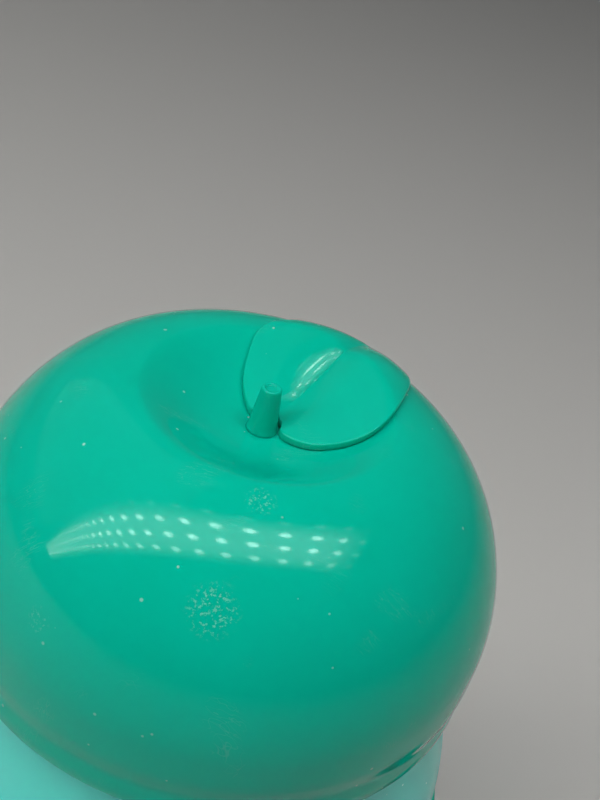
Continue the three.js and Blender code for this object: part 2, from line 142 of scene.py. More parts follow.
def make_camera():
    elevation = math.radians(CAMERA_ELEVATION)
    reach = CAMERA_DISTANCE * COVER_RADIUS * MM
    forward = Vector((0, math.cos(elevation), -math.sin(elevation)))
    right = Vector((1, 0, 0))
    up = right.cross(forward)
    place = Vector((0, 0, SKIRT_HEIGHT * MM)) - forward * reach
    sideways = Matrix.Rotation(math.radians(AIM_SIDEWAYS), 3, up)
    forward, right = sideways @ forward, sideways @ right
    upwards = Matrix.Rotation(math.radians(AIM_UP), 3, right)
    forward, up = upwards @ forward, upwards @ up
    roll = Matrix.Rotation(math.radians(CAMERA_ROLL), 3, forward)
    right, up = roll @ right, roll @ up
    data = bpy.data.cameras.new("camera")
    data.lens = LENS
    data.sensor_width = 36
    data.clip_start = 0.01
    camera = bpy.data.objects.new("camera", data)
    turn = Matrix((right, up, -forward)).transposed()
    camera.matrix_world = Matrix.Translation(place) @ turn.to_4x4()
    bpy.context.collection.objects.link(camera)
    bpy.context.scene.camera = camera


make_camera()


# ---- mesh tools -----------------------------------------------------------------

def add_piece(name, vertices, faces, material, smooth=True):
    """Makes an object from points in millimetres."""
    mesh = bpy.data.meshes.new(name)
    points = np.asarray(vertices, float) * MM
    mesh.from_pydata(points.tolist(), [], faces)
    mesh.materials.append(material)
    build = bmesh.new()
    build.from_mesh(mesh)
    bmesh.ops.recalc_face_normals(build, faces=build.faces)
    build.to_mesh(mesh)
    build.free()
    for polygon in mesh.polygons:
        polygon.use_smooth = smooth
    piece = bpy.data.objects.new(name, mesh)
    bpy.context.collection.objects.link(piece)
    return piece


def weigh_normals(piece):
    """Keeps flat faces flat-looking beside their rounded edges."""
    weighted = piece.modifiers.new("flat faces stay flat", "WEIGHTED_NORMAL")
    weighted.keep_sharp = True


def apply_modifiers(piece):
    graph = bpy.context.evaluated_depsgraph_get()
    shaped = bpy.data.meshes.new_from_object(piece.evaluated_get(graph))
    piece.modifiers.clear()
    old = piece.data
    piece.data = shaped
    bpy.data.meshes.remove(old)
    for polygon in piece.data.polygons:
        polygon.use_smooth = True


def rounded(corners, steps=5, closed=True):
    """Turns a polygon of (radius, height, rounding) into an outline with soft corners."""
    outline = []
    count = len(corners)
    for i, corner in enumerate(corners):
        here = np.array(corner[:2], float)
        rounding = corner[2] if len(corner) > 2 else 0
        at_end = not closed and i in (0, count - 1)
        if rounding == 0 or at_end:
            outline.append(here)
            continue
        before = np.array(corners[i - 1][:2], float)
        after = np.array(corners[(i + 1) % count][:2], float)
        start = here + (before - here) * min(0.49, rounding / np.linalg.norm(before - here))
        end = here + (after - here) * min(0.49, rounding / np.linalg.norm(after - here))
        for step in range(steps + 1):
            t = step / steps
            outline.append(start * (1 - t) ** 2 + here * 2 * t * (1 - t) + end * t ** 2)
    return np.array(outline)


def spaced(outline, longest, closed=True):
    """Adds points so that no edge of the outline is longer than this."""
    points = []
    following = np.roll(outline, -1, axis=0) if closed else outline[1:]
    for here, there in zip(outline, following):
        pieces = max(1, math.ceil(np.linalg.norm(there - here) / longest))
        for i in range(pieces):
            points.append(here + (there - here) * i / pieces)
    if not closed:
        points.append(outline[-1])
    return np.array(points)


def turned(name, outline, material, sides=160, closed=True, shape=None):
    """Turns an outline about the cup's axis. An open outline starts and ends on the axis."""
    angles = np.arange(sides) * FULL_TURN / sides
    vertices = []
    rings = []
    for radius, height in outline:
        if radius < 1e-6:
            rings.append([len(vertices)])
            vertices.append((0, 0, height))
            continue
        radii = np.full(sides, radius)
        heights = np.full(sides, height)
        if shape:
            radii, heights = shape(radii, heights, angles)
        rings.append(list(range(len(vertices), len(vertices) + sides)))
        vertices.extend(zip(radii * np.cos(angles), radii * np.sin(angles), heights))
    faces = []
    pairs = list(zip(rings, rings[1:]))
    if closed:
        pairs.append((rings[-1], rings[0]))
    for low, high in pairs:
        for i in range(sides):
            j = (i + 1) % sides
            if len(low) == 1:
                faces.append((low[0], high[j], high[i]))
            elif len(high) == 1:
                faces.append((low[i], low[j], high[0]))
            else:
                faces.append((low[i], low[j], high[j], high[i]))
    return add_piece(name, vertices, faces, material)


def thread(wall_radius, depth, start, first_turn, turns):
    """A helical ridge that stands depth out of a wall, and fades in and out at its ends."""
    half_root, half_crest, lead = 0.95, 0.4, 0.1

    def shape(radii, heights, angles):
        on_wall = np.abs(radii - wall_radius) < 0.02
        ridge = np.zeros_like(radii)
        for whole in range(3):
            turn = angles / FULL_TURN + whole
            middle = start + THREAD_PITCH * turn
            flank = np.clip((half_root - np.abs(heights - middle)) / (half_root - half_crest), 0, 1)
            fade = np.clip(np.minimum(turn - first_turn, first_turn + turns - turn) / lead, 0, 1)
            ridge = np.maximum(ridge, flank * fade)
        return np.where(on_wall, radii + depth * ridge, radii), heights

    return shape


def swept(name, centres, widths, depths, material, closed, section=28, squareness=2.6):
    """A rounded bar along a path in the XZ plane: widths across it, depths along Y."""
    centres = np.asarray(centres, float)
    count = len(centres)
    if closed:
        ahead = np.roll(centres, -1, axis=0) - np.roll(centres, 1, axis=0)
    else:
        ahead = np.gradient(centres, axis=0)
    ahead /= np.linalg.norm(ahead, axis=1)[:, None]
    across = np.stack([-ahead[:, 1], ahead[:, 0]], axis=1)
    vertices = []
    for i in range(count):
        for k in range(section):
            angle = k * FULL_TURN / section
            c, s = math.cos(angle), math.sin(angle)
            out = math.copysign(abs(c) ** (2 / squareness), c) * widths[i] / 2
            back = math.copysign(abs(s) ** (2 / squareness), s) * depths[i] / 2
            x, z = centres[i] + across[i] * out
            vertices.append((x, back, z))
    faces = []
    for i in range(count if closed else count - 1):
        j = (i + 1) % count
        for k in range(section):
            m = (k + 1) % section
            faces.append((i * section + k, i * section + m, j * section + m, j * section + k))
    if not closed:
        faces.append(tuple(range(section)))
        faces.append(tuple((count - 1) * section + k for k in range(section)))
    return add_piece(name, vertices, faces, material)


def cut(piece, *tools):
    """Cuts tools out of a piece and throws them away."""
    for tool in tools:
        boolean = piece.modifiers.new("cut", "BOOLEAN")
        boolean.operation = "DIFFERENCE"
        boolean.object = tool
        boolean.solver = "EXACT"
    apply_modifiers(piece)
    for tool in tools:
        bpy.data.objects.remove(tool)


def melted(name, parts, material, voxel, smoothing):
    """Joins overlapping parts into one moulded skin with soft inner corners."""
    whole = bmesh.new()
    for part in parts:
        whole.from_mesh(part.data)
    mesh = bpy.data.meshes.new(name)
    whole.to_mesh(mesh)
    whole.free()
    mesh.materials.append(material)
    piece = bpy.data.objects.new(name, mesh)
    bpy.context.collection.objects.link(piece)
    for part in parts:
        bpy.data.objects.remove(part)
    remesh = piece.modifiers.new("one skin", "REMESH")
    remesh.mode = "VOXEL"
    remesh.voxel_size = voxel * MM
    smooth = piece.modifiers.new("soft corners", "SMOOTH")
    smooth.factor = 0.5
    smooth.iterations = smoothing
    apply_modifiers(piece)
    piece.data.materials.clear()
    piece.data.materials.append(material)
    return piece


# ---- shader groups -----------------------------------------------------------------

def new_group(name, inputs, outputs):
    group = bpy.data.node_groups.new(name, "ShaderNodeTree")
    for label, kind, value in inputs:
        socket = group.interface.new_socket(name=label, in_out="INPUT", socket_type=kind)
        socket.default_value = value
    for label, kind in outputs:
        group.interface.new_socket(name=label, in_out="OUTPUT", socket_type=kind)
    enter = group.nodes.new("NodeGroupInput")
    leave = group.nodes.new("NodeGroupOutput")
    return group, enter, leave


def node(tree, kind, values=None, links=None, **settings):
    """Adds a node; values are constants by socket, links are sockets that feed it."""
    made = tree.nodes.new(kind)
    for key, value in settings.items():
        setattr(made, key, value)
    for key, value in (values or {}).items():
        made.inputs[key].default_value = value
    for key, source in (links or {}).items():
        tree.links.new(source, made.inputs[key])
    return made


def maths(tree, operation, first, second=0.5, third=None, clamp=False):
    """One Math node; each operand is a number or a socket."""
    made = tree.nodes.new("ShaderNodeMath")
    made.operation = operation
    made.use_clamp = clamp
    for index, operand in enumerate((first, second, third)):
        if operand is None:
            continue
        if isinstance(operand, (int, float)):
            made.inputs[index].default_value = operand
        else:
            tree.links.new(operand, made.inputs[index])
    return made.outputs[0]


def ramp(tree, source, low, high):
    """0 below low, 1 above high, smooth between."""
    made = node(tree, "ShaderNodeMapRange", {"From Min": low, "From Max": high},
                {"Value": source}, interpolation_type="SMOOTHSTEP")
    return made.outputs["Result"]


def make_scratch_group():
    """Fine hairline scratches in loose patches, as a bottle gets in a bag."""
    group, enter, leave = new_group("hairline scratches", [
        ("Place", "NodeSocketVector", (0, 0, 0)),
        ("Density", "NodeSocketFloat", 230.0),
        ("Thinness", "NodeSocketFloat", 0.01),
    ], [("Mask", "NodeSocketFloat")])
    masks = []
    for turn, stretch in ((0.4, 9.0), (1.3, 7.0), (2.3, 11.0)):
        turned_place = node(group, "ShaderNodeMapping",
                            {"Rotation": (turn, turn * 1.7, turn * 0.6), "Scale": (1, stretch, 1)},
                            {"Vector": enter.outputs["Place"]})
        noise = node(group, "ShaderNodeTexNoise", {"Detail": 1.0, "Distortion": 0.25},
                     {"Vector": turned_place.outputs[0], "Scale": enter.outputs["Density"]})
        line = maths(group, "ABSOLUTE", maths(group, "SUBTRACT", noise.outputs[0], 0.5))
        thin = maths(group, "DIVIDE", line, enter.outputs["Thinness"])
        masks.append(maths(group, "SUBTRACT", 1.0, thin, clamp=True))
    patch = node(group, "ShaderNodeTexNoise", {"Scale": 130.0, "Detail": 1.0},
                 {"Vector": enter.outputs["Place"]})
    patchy = ramp(group, patch.outputs[0], 0.6, 0.72)
    strongest = maths(group, "MAXIMUM", masks[0], maths(group, "MAXIMUM", masks[1], masks[2]))
    group.links.new(maths(group, "MULTIPLY", strongest, patchy), leave.inputs["Mask"])
    return group


def make_speck_group():
    """Small dried specks and lint, each its own size, with most places left clean."""
    group, enter, leave = new_group("specks and lint", [
        ("Place", "NodeSocketVector", (0, 0, 0)),
        ("Scale", "NodeSocketFloat", 900.0),
        ("Share", "NodeSocketFloat", 0.03),
    ], [("Mask", "NodeSocketFloat")])
    cells = node(group, "ShaderNodeTexVoronoi", {"Randomness": 1.0},
                 {"Vector": enter.outputs["Place"], "Scale": enter.outputs["Scale"]})
    pick = node(group, "ShaderNodeSeparateColor", links={"Color": cells.outputs["Color"]})
    chosen = maths(group, "LESS_THAN", pick.outputs[0], enter.outputs["Share"])
    size = maths(group, "MULTIPLY_ADD", pick.outputs[1], 0.22, 0.1)
    edge = maths(group, "DIVIDE", cells.outputs["Distance"], size)
    spot = maths(group, "SUBTRACT", 1.0, edge, clamp=True)
    crisp = ramp(group, spot, 0.0, 0.5)
    group.links.new(maths(group, "MULTIPLY", crisp, chosen), leave.inputs["Mask"])
    return group


def make_scuff_group():
    """A round rubbed patch of fine pits at one place."""
    group, enter, leave = new_group("rubbed patch", [
        ("Place", "NodeSocketVector", (0, 0, 0)),
        ("Centre", "NodeSocketVector", (0, 0, 0)),
        ("Radius", "NodeSocketFloat", 0.005),
    ], [("Mask", "NodeSocketFloat")])
    apart = node(group, "ShaderNodeVectorMath", operation="DISTANCE",
                 links={0: enter.outputs["Place"], 1: enter.outputs["Centre"]})
    share = maths(group, "DIVIDE", apart.outputs["Value"], enter.outputs["Radius"])
    inside = maths(group, "SUBTRACT", 1.0, share, clamp=True)
    grain = node(group, "ShaderNodeTexNoise", {"Scale": 1900.0, "Detail": 3.0, "Roughness": 0.7},
                 {"Vector": enter.outputs["Place"]})
    pits = ramp(group, grain.outputs[0], 0.52, 0.66)
    soft = ramp(group, inside, 0.0, 0.55)
    group.links.new(maths(group, "MULTIPLY", pits, soft), leave.inputs["Mask"])
    return group


def make_cloud_group():
    """Slow unevenness of a moulded wall, and the fainter smears left by hands."""
    group, enter, leave = new_group("uneven gloss", [
        ("Place", "NodeSocketVector", (0, 0, 0)),
        ("Scale", "NodeSocketFloat", 60.0),
    ], [("Slow", "NodeSocketFloat"), ("Smear", "NodeSocketFloat")])
    slow = node(group, "ShaderNodeTexNoise", {"Detail": 3.0, "Roughness": 0.5},
                {"Vector": enter.outputs["Place"], "Scale": enter.outputs["Scale"]})
    wide = maths(group, "MULTIPLY", enter.outputs["Scale"], 3.1)
    smear = node(group, "ShaderNodeTexNoise", {"Detail": 6.0, "Roughness": 0.62, "Distortion": 1.2},
                 {"Vector": enter.outputs["Place"], "Scale": wide})
    group.links.new(slow.outputs[0], leave.inputs["Slow"])
    group.links.new(ramp(group, smear.outputs[0], 0.5, 0.75), leave.inputs["Smear"])
    return group


scratches = make_scratch_group()
specks = make_speck_group()
rubbed_patch = make_scuff_group()
uneven_gloss = make_cloud_group()


def use_group(tree, group, values=None, links=None):
    made = tree.nodes.new("ShaderNodeGroup")
    made.node_tree = group
    for key, value in (values or {}).items():
        made.inputs[key].default_value = value
    for key, source in (links or {}).items():
        tree.links.new(source, made.inputs[key])
    return made


def mix_colour(tree, mask, first, second):
    """Mixes two colours, each a constant or a socket, by a mask."""
    made = tree.nodes.new("ShaderNodeMix")
    made.data_type = "RGBA"
    tree.links.new(mask, made.inputs["Factor"])
    for key, colour in ((6, first), (7, second)):
        if isinstance(colour, tuple):
            made.inputs[key].default_value = (*colour, 1)
        else:
            tree.links.new(colour, made.inputs[key])
    return made.outputs[2]


# ---- materials --------------------------------------------------------------------

def moulded_plastic(name, colour, deep, shader, roughness, scratch_share, speck_share, scuffs=()):
    """Glossy moulded plastic: pigment that varies, smears, hairline scratches, specks and scuffs."""
    material = bpy.data.materials.new(name)
    material.use_nodes = True
    tree = material.node_tree
    surface = tree.nodes["Principled BSDF"]
    for key, value in shader.items():
        surface.inputs[key].default_value = value
    place = node(tree, "ShaderNodeTexCoord").outputs["Object"]
    gloss = use_group(tree, uneven_gloss, links={"Place": place})
    lines = use_group(tree, scratches, links={"Place": place}).outputs["Mask"]
    dots = use_group(tree, specks, {"Share": speck_share}, {"Place": place}).outputs["Mask"]
    worn = maths(tree, "MULTIPLY", lines, scratch_share)
    for centre, radius, strength in scuffs:
        patch = use_group(tree, rubbed_patch, {"Centre": tuple(c * MM for c in centre),
                                               "Radius": radius * MM}, {"Place": place})
        worn = maths(tree, "MAXIMUM", worn, maths(tree, "MULTIPLY", patch.outputs[0], strength))
    marks = maths(tree, "MAXIMUM", worn, maths(tree, "MULTIPLY", dots, 0.5), clamp=True)
    pigment = mix_colour(tree, gloss.outputs["Slow"], deep, colour)
    chalky = tuple(min(1.0, c * 0.55 + 0.36) for c in colour)
    tree.links.new(mix_colour(tree, marks, pigment, chalky), surface.inputs["Base Color"])
    rough = maths(tree, "MULTIPLY_ADD", gloss.outputs["Smear"], 0.06, roughness)
    rougher = maths(tree, "MULTIPLY_ADD", marks, 0.35, rough, clamp=True)
    tree.links.new(rougher, surface.inputs["Roughness"])
    height = maths(tree, "SUBTRACT", maths(tree, "MULTIPLY", dots, 0.6), worn)
    bump = node(tree, "ShaderNodeBump", {"Strength": 0.25, "Distance": 0.00005}, {"Height": height})
    tree.links.new(bump.outputs["Normal"], surface.inputs["Normal"])
    return material


def cover_point(turn, radius, height):
    """A place on or near the cover, by degrees from +X, radius and height above the skirt."""
    angle = math.radians(turn)
    return (radius * math.cos(angle), radius * math.sin(angle), SKIRT_HEIGHT + height)


emerald = moulded_plastic(
    "emerald plastic", (0.0, 0.42, 0.305), (0.0, 0.375, 0.26),
    {"Subsurface Weight": 0.3, "Subsurface Radius": (0.1, 1.0, 0.75), "Subsurface Scale": 0.003,
     "IOR": 1.32, "Specular Tint": (0.6, 1.0, 1.0, 1.0)},
    0.06, 0.08, 0.02,
    scuffs=((cover_point(-90, 34.5, 32), 4.2, 0.24), (cover_point(-84, 22, 40.5), 2.6, 0.18),
            (cover_point(-122, 40, 22), 2.2, 0.2)),
)
turquoise = moulded_plastic(
    "turquoise plastic", (0.13, 0.85, 0.74), (0.1, 0.78, 0.68),
    {"Subsurface Weight": 0.6, "Subsurface Radius": (0.6, 1.0, 0.9), "Subsurface Scale": 0.006,
     "Transmission Weight": 0.2, "IOR": 1.38},
    0.18, 0.14, 0.02,
)
clear_plate = moulded_plastic(
    "frosted clear plastic", (0.74, 0.88, 0.85), (0.68, 0.84, 0.81),
    {"Transmission Weight": 0.55, "Subsurface Weight": 0.2, "Subsurface Radius": (0.8, 1.0, 1.0),
     "Subsurface Scale": 0.004, "IOR": 1.49},
    0.35, 0.3, 0.01,
)


def soft_rubber(name, colour, deep, shader, roughness, grain_scale, grain_height):
    """Matt silicone or soft grip rubber: fine grain, dust in the grain and paler rubbed spots."""
    material = bpy.data.materials.new(name)
    material.use_nodes = True
    tree = material.node_tree
    surface = tree.nodes["Principled BSDF"]
    for key, value in shader.items():
        surface.inputs[key].default_value = value
    place = node(tree, "ShaderNodeTexCoord").outputs["Object"]
    gloss = use_group(tree, uneven_gloss, {"Scale": 90.0}, {"Place": place})
    dots = use_group(tree, specks, {"Share": 0.05, "Scale": 1400.0}, {"Place": place}).outputs[0]
    grain = node(tree, "ShaderNodeTexNoise", {"Scale": grain_scale, "Detail": 4.0, "Roughness": 0.6},
                 {"Vector": place}).outputs[0]
    body = mix_colour(tree, gloss.outputs["Slow"], deep, colour)
    dusty = tuple(c * 0.6 + 0.3 for c in colour)
    lint = maths(tree, "MULTIPLY", dots, 0.5)
    dulled = maths(tree, "MAXIMUM", lint, maths(tree, "MULTIPLY", gloss.outputs["Smear"], 0.12))
    tree.links.new(mix_colour(tree, dulled, body, dusty), surface.inputs["Base Color"])
    rough = maths(tree, "MULTIPLY_ADD", gloss.outputs["Smear"], 0.12, roughness)
    tree.links.new(rough, surface.inputs["Roughness"])
    bump = node(tree, "ShaderNodeBump", {"Strength": 0.4, "Distance": grain_height}, {"Height": grain})
    tree.links.new(bump.outputs["Normal"], surface.inputs["Normal"])
    return material


silicone = soft_rubber(
    "milky silicone", (0.82, 0.9, 0.87), (0.76, 0.85, 0.82),
    {"Subsurface Weight": 0.8, "Subsurface Radius": (1.0, 1.0, 1.0), "Subsurface Scale": 0.005,
     "Specular IOR Level": 0.4},
    0.42, 2600.0, 0.00004,
)
grip_rubber = soft_rubber(
    "soft grip rubber", (0.045, 0.45, 0.37), (0.035, 0.38, 0.31),
    {"Subsurface Weight": 0.25, "Subsurface Radius": (0.5, 1.0, 0.8), "Subsurface Scale": 0.003,
     "Sheen Weight": 0.15, "Specular IOR Level": 0.35},
    0.6, 3200.0, 0.00006,
)


# ---- cover ---------------------------------------------------------------------------

def cover_outline(inset, lower_steps, upper_steps, dimple_steps):
    """The cover's outline from the skirt's edge to the dimple's floor, heights above the skirt."""
    points = []
    for i in range(lower_steps + 1):
        height = WIDEST_HEIGHT * i / lower_steps
        turn_in = (1 - i / lower_steps) ** SKIRT_CURL
        valley = math.exp(-(((height - VALLEY_HEIGHT) / VALLEY_WIDTH) ** 2)) * VALLEY_DEPTH
        points.append((COVER_RADIUS - SKIRT_TURN_IN * turn_in - valley - inset, height))
    crest = COVER_CREST - inset
    for i in range(1, upper_steps + 1):
        angle = i / upper_steps * math.pi / 2
        reach = max(0.0, math.cos(angle)) ** (2 / DOME_FULLNESS)
        rise = math.sin(angle) ** (2 / DOME_FULLNESS)
        points.append((CREST_RADIUS + (COVER_RADIUS - inset - CREST_RADIUS) * reach,
                       WIDEST_HEIGHT + (crest - WIDEST_HEIGHT) * rise))
    for i in range(1, dimple_steps + 1):
        part = i / dimple_steps
        sink = DIMPLE_DEPTH * math.sin(part ** DIMPLE_SHARPNESS * math.pi / 2) ** DIMPLE_POWER
        points.append((CREST_RADIUS + (DIMPLE_FLOOR_RADIUS - CREST_RADIUS) * part, crest - sink))
    return points


def make_cover():
    outer = cover_outline(0, 26, 64, 36)
    inner = cover_outline(COVER_WALL, 20, 48, 28)[::-1]
    peg_hole = 1.6
    floor_top, floor_under = outer[-1][1], inner[0][1]
    edge = rounded([(outer[1][0], outer[1][1], 0), (outer[0][0] - 0.02, 0, 0.6),
                    (inner[-1][0], 0, 0.5), (inner[-2][0], inner[-2][1], 0)], closed=False)
    profile = [*outer[2:], (peg_hole + 0.25, floor_top), (peg_hole, floor_top - 0.25),
               (peg_hole, floor_under), *inner[:-2], *edge[::-1]]
    profile = np.array(profile) + (0, SKIRT_HEIGHT)
    cover = turned("cover", profile, emerald, sides=256)
    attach(cover, "cover")
    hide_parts("cover_dome")


def make_stem():
    floor = SKIRT_HEIGHT + DIMPLE_FLOOR
    foot = floor + 0.02
    top = floor + STEM_HEIGHT
    outline = rounded([
        (0, floor - 4.6), (1.3, floor - 4.6, 0.3), (1.3, foot), (2.35, foot, 0), (2.15, foot + 0.8, 0.7),
        (1.95, foot + 3, 1.5), (1.52, top - 0.45, 0.4), (1.42, top, 0.3), (1.02, top, 0.28),
        (0.85, top - 0.3, 0.25), (0, top - 0.34),
    ], closed=False, steps=8)
    stem = turned("stem_peg", spaced(outline, 0.3, closed=False), emerald, sides=64, closed=False)
    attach(stem, "cover")
    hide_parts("stem")


def make_stem_clip():
    top = SKIRT_HEIGHT + DIMPLE_FLOOR - COVER_WALL - TOUCH_GAP
    outline = rounded([(1.42, top - 1.2, 0.15), (3.6, top - 1.2, 0.35),
                       (3.6, top, 0.25), (1.42, top, 0.15)])
    clip = turned("stem_washer", outline, clear_plate, sides=64)
    weigh_normals(clip)
    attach(clip, "cover")
    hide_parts("stem_clip")


# Leaf outline, millimetres along the midrib and across to its right.
LEAF_OUTLINE = [(0.4, 0), (-1.6, -2.4), (-1.9, -3.6), (1.3, -7.6), (4.7, -10.1), (8.7, -12),
                (12.9, -11.8), (18.2, -9.4), (22.2, -5), (23.6, -1.8), (23.2, 0), (24.3, 3), (23, 7),
                (20.4, 9.9), (14.6, 12.3), (8.9, 13.8), (4.4, 13.8), (1.2, 12.4), (-0.9, 10.1),
                (-2.1, 8), (-2.8, 4.8), (-2.4, 2.6)]
LEAF_CENTRE = (9, 0)
LEAF_DIRECTION = 60
LEAF_ROOT_OFFSET = 3.0
LEAF_HOVER = 0.1
LEAF_EDGE = 1.2
LEAF_WALL = 2.0
LEFT_LOBE = 2.0                 # height of each lobe
RIGHT_LOBE = 2.05
LEFT_ROLL = 2.3                 # width of the left lobe's roll into the midrib
RIGHT_ROLL = 6
LOBE_FALL = 1.9                 # how late a lobe falls to the leaf's edge


def smooth_loop(points, steps):
    """A Catmull-Rom curve through a closed loop of points."""
    points = np.array(points, float)
    curve = []
    count = len(points)
    for i in range(count):
        a, b, c, d = (points[(i + k) % count] for k in (-1, 0, 1, 2))
        for step in range(steps):
            t = step / steps
            curve.append(0.5 * (2 * b + (c - a) * t + (2 * a - 5 * b + 4 * c - d) * t * t
                                + (3 * b - a - 3 * c + d) * t ** 3))
    return np.array(curve)


cover_top_line = np.array(cover_outline(0, 6, 300, 200))[6:][::-1]


def cover_top(radius):
    """Height of the cover's top over the skirt."""
    return float(np.interp(radius, cover_top_line[:, 0], cover_top_line[:, 1]))


def leaf_rise(across, reach):
    """How far the leaf's top stands above the cover. The left lobe rolls down into the midrib."""
    if across < 0:
        swell = (1 - math.exp(across / LEFT_ROLL)) * LEFT_LOBE
    else:
        swell = math.sin(min(1, across / RIGHT_ROLL) * math.pi / 2) * RIGHT_LOBE
    return LEAF_HOVER + LEAF_EDGE + swell * (1 - reach ** LOBE_FALL)


def leaf_point(edge, reach, depth):
    """A place on the leaf: reach runs from centre to edge, depth from top to underside."""
    centre = np.array(LEAF_CENTRE, float)
    turn = math.radians(LEAF_DIRECTION)
    along, across = centre + (np.array(edge) - centre) * reach
    x = (along + LEAF_ROOT_OFFSET) * math.cos(turn) + across * math.sin(turn)
    y = (along + LEAF_ROOT_OFFSET) * math.sin(turn) - across * math.cos(turn)
    rise = leaf_rise(across, reach)
    under = max(LEAF_HOVER, rise - LEAF_WALL)
    z = cover_top(math.hypot(x, y)) + rise + (under - rise) * depth
    return x, y, SKIRT_HEIGHT + z


def make_leaf():
    loop = smooth_loop(LEAF_OUTLINE, 10)
    top_rows = [(i / 34 * 0.97, 0) for i in range(1, 35)]
    rim_rows = [(0.983, 0), (0.993, 0.03), (0.999, 0.1), (1, 0.22), (1, 0.5), (1, 0.8), (0.996, 0.93),
                (0.985, 1)]
    under_rows = [(reach, 1) for reach, depth in top_rows[::-2]]
    rows = top_rows + rim_rows + under_rows
    vertices = [leaf_point(LEAF_CENTRE, 0, 0), leaf_point(LEAF_CENTRE, 0, 1)]
    for reach, depth in rows:
        vertices.extend(leaf_point(edge, reach, depth) for edge in loop)
    count = len(loop)
    faces = []
    for i in range(count):
        j = (i + 1) % count
        faces.append((0, 2 + i, 2 + j))
        last = 2 + (len(rows) - 1) * count
        faces.append((1, last + j, last + i))
        for row in range(len(rows) - 1):
            a, b = 2 + row * count, 2 + (row + 1) * count
            faces.append((a + i, b + i, b + j, a + j))
    leaf = add_piece("leaf_blade", vertices, faces, emerald)
    room = turned("stem_room", [(0, 120), (2.7, 120), (2.7, 150), (0, 150)], emerald, 48, False)
    cut(leaf, room)
    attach(leaf, "cover")
    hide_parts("leaf")


# ---- collar, cup and foot -----------------------------------------------------------

def make_collar():
    height = COLLAR_TOP - COLLAR_FOOT
    flare = COLLAR_FOOT_RADIUS - COLLAR_TOP_RADIUS

    def skin(t):
        return (COLLAR_TOP_RADIUS + flare * math.sin(t * math.pi / 2) ** 2, COLLAR_TOP - height * t)

    wall = 1.9
    thread_wall = COLLAR_BORE + 1.6
    groove_top = COLLAR_TOP - height * 0.42
    outside = [skin(i / 40) for i in range(1, 40)]
    corners = [
        (*skin(0), 0.5), *outside, (*skin(1), 0.7), (COLLAR_FOOT_RADIUS - wall, COLLAR_FOOT, 0.5),
        (skin(0.7)[0] - wall, skin(0.7)[1], 0), (thread_wall + 0.3, groove_top, 0.15),
        (thread_wall, groove_top - 0.5, 0.15), (thread_wall, COLLAR_FOOT + 2, 0.4),
        (COLLAR_BORE, COLLAR_FOOT + 2, 0.4), (COLLAR_BORE, COLLAR_SHELF, 0.4),
        (NECK_RADIUS - 2, COLLAR_SHELF, 0.5), (NECK_RADIUS - 2, COLLAR_TOP, 0.5),
        (SPIGOT_RADIUS - SPIGOT_WALL, COLLAR_TOP + 0.4, 0.3),
        (SPIGOT_RADIUS - SPIGOT_WALL, SPIGOT_TOP, 0.6), (SPIGOT_RADIUS - 0.1, SPIGOT_TOP, 0.6),
        (SPIGOT_RADIUS, COLLAR_TOP, 0.3),
    ]
    outline = spaced(rounded(corners, steps=4), 0.35)
    ridge = thread(COLLAR_BORE, -THREAD_DEPTH, THREAD_START - THREAD_PITCH / 2, 0.2, 1.05)
    collar = turned("collar_ring", outline, turquoise, sides=224, shape=ridge)
    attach(collar, "collar")
    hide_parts("collar")


def make_cup():
    foot = FOOT_RADIUS - 2.0
    corners = [
        (0, 3.2), (16, 3.2, 1), (18, 2.0, 1), (foot - 2, 2.0, 1), (foot, 4.0, 1),
        (foot + 0.6, BOOT_HEIGHT + 0.3, 0.2), (FOOT_RADIUS + 0.7, BOOT_HEIGHT + 0.3, 0.6),
        (35.35, (BOOT_HEIGHT + WAIST_HEIGHT) / 2, 8), (WAIST_RADIUS, WAIST_HEIGHT, 8),
        (40.8, (WAIST_HEIGHT + SHOULDER_HEIGHT) / 2, 8), (SHOULDER_RADIUS, 61.2, 2.5),
        (SHOULDER_RADIUS, SHOULDER_HEIGHT, 0.9), (NECK_RADIUS, SHOULDER_HEIGHT, 0.6),
        (NECK_RADIUS, CUP_RIM, 0.5), (NECK_RADIUS - CUP_WALL, CUP_RIM, 0.5),
        (NECK_RADIUS - CUP_WALL, 62.2, 2), (40, 59.2, 2), (WAIST_RADIUS - CUP_WALL, WAIST_HEIGHT, 8),
        (foot - 1.4, 12, 6), (foot - 6, 6, 4), (0, 6),
    ]
    outline = spaced(rounded(corners, steps=6, closed=False), 0.45, closed=False)
    ridge = thread(NECK_RADIUS, THREAD_DEPTH, THREAD_START, 0, 1.25)
    cup = turned("cup_shell", outline, turquoise, sides=224, closed=False, shape=ridge)
    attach(cup, "cup")
    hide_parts("cup_body")


def make_boot():
    inside = FOOT_RADIUS - 1.7
    side = []
    for i in range(3):
        height = 3.2 + i * 1.9
        lean = 0.5 * height / BOOT_HEIGHT
        side += [(FOOT_RADIUS + lean, height, 0.2), (FOOT_RADIUS + lean - 0.35, height + 0.35, 0.2),
                 (FOOT_RADIUS + lean, height + 0.7, 0.2)]
    corners = [(19, 0, 0.4), (FOOT_RADIUS - 1.2, 0, 0.6), (FOOT_RADIUS, 1.2, 0.6), *side,
               (FOOT_RADIUS + 0.5, BOOT_HEIGHT, 0.5), (inside + 0.6, BOOT_HEIGHT, 0.4),
               (inside, 3.7, 0.5), (inside - 2, 1.7, 0.8), (19, 1.7, 0.4)]
    boot = turned("foot_boot", rounded(corners, steps=4), grip_rubber, sides=192)
    weigh_normals(boot)
    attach(boot, "cup")
    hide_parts("base_boot")


# ---- lid, seal, spout and valves ------------------------------------------------------

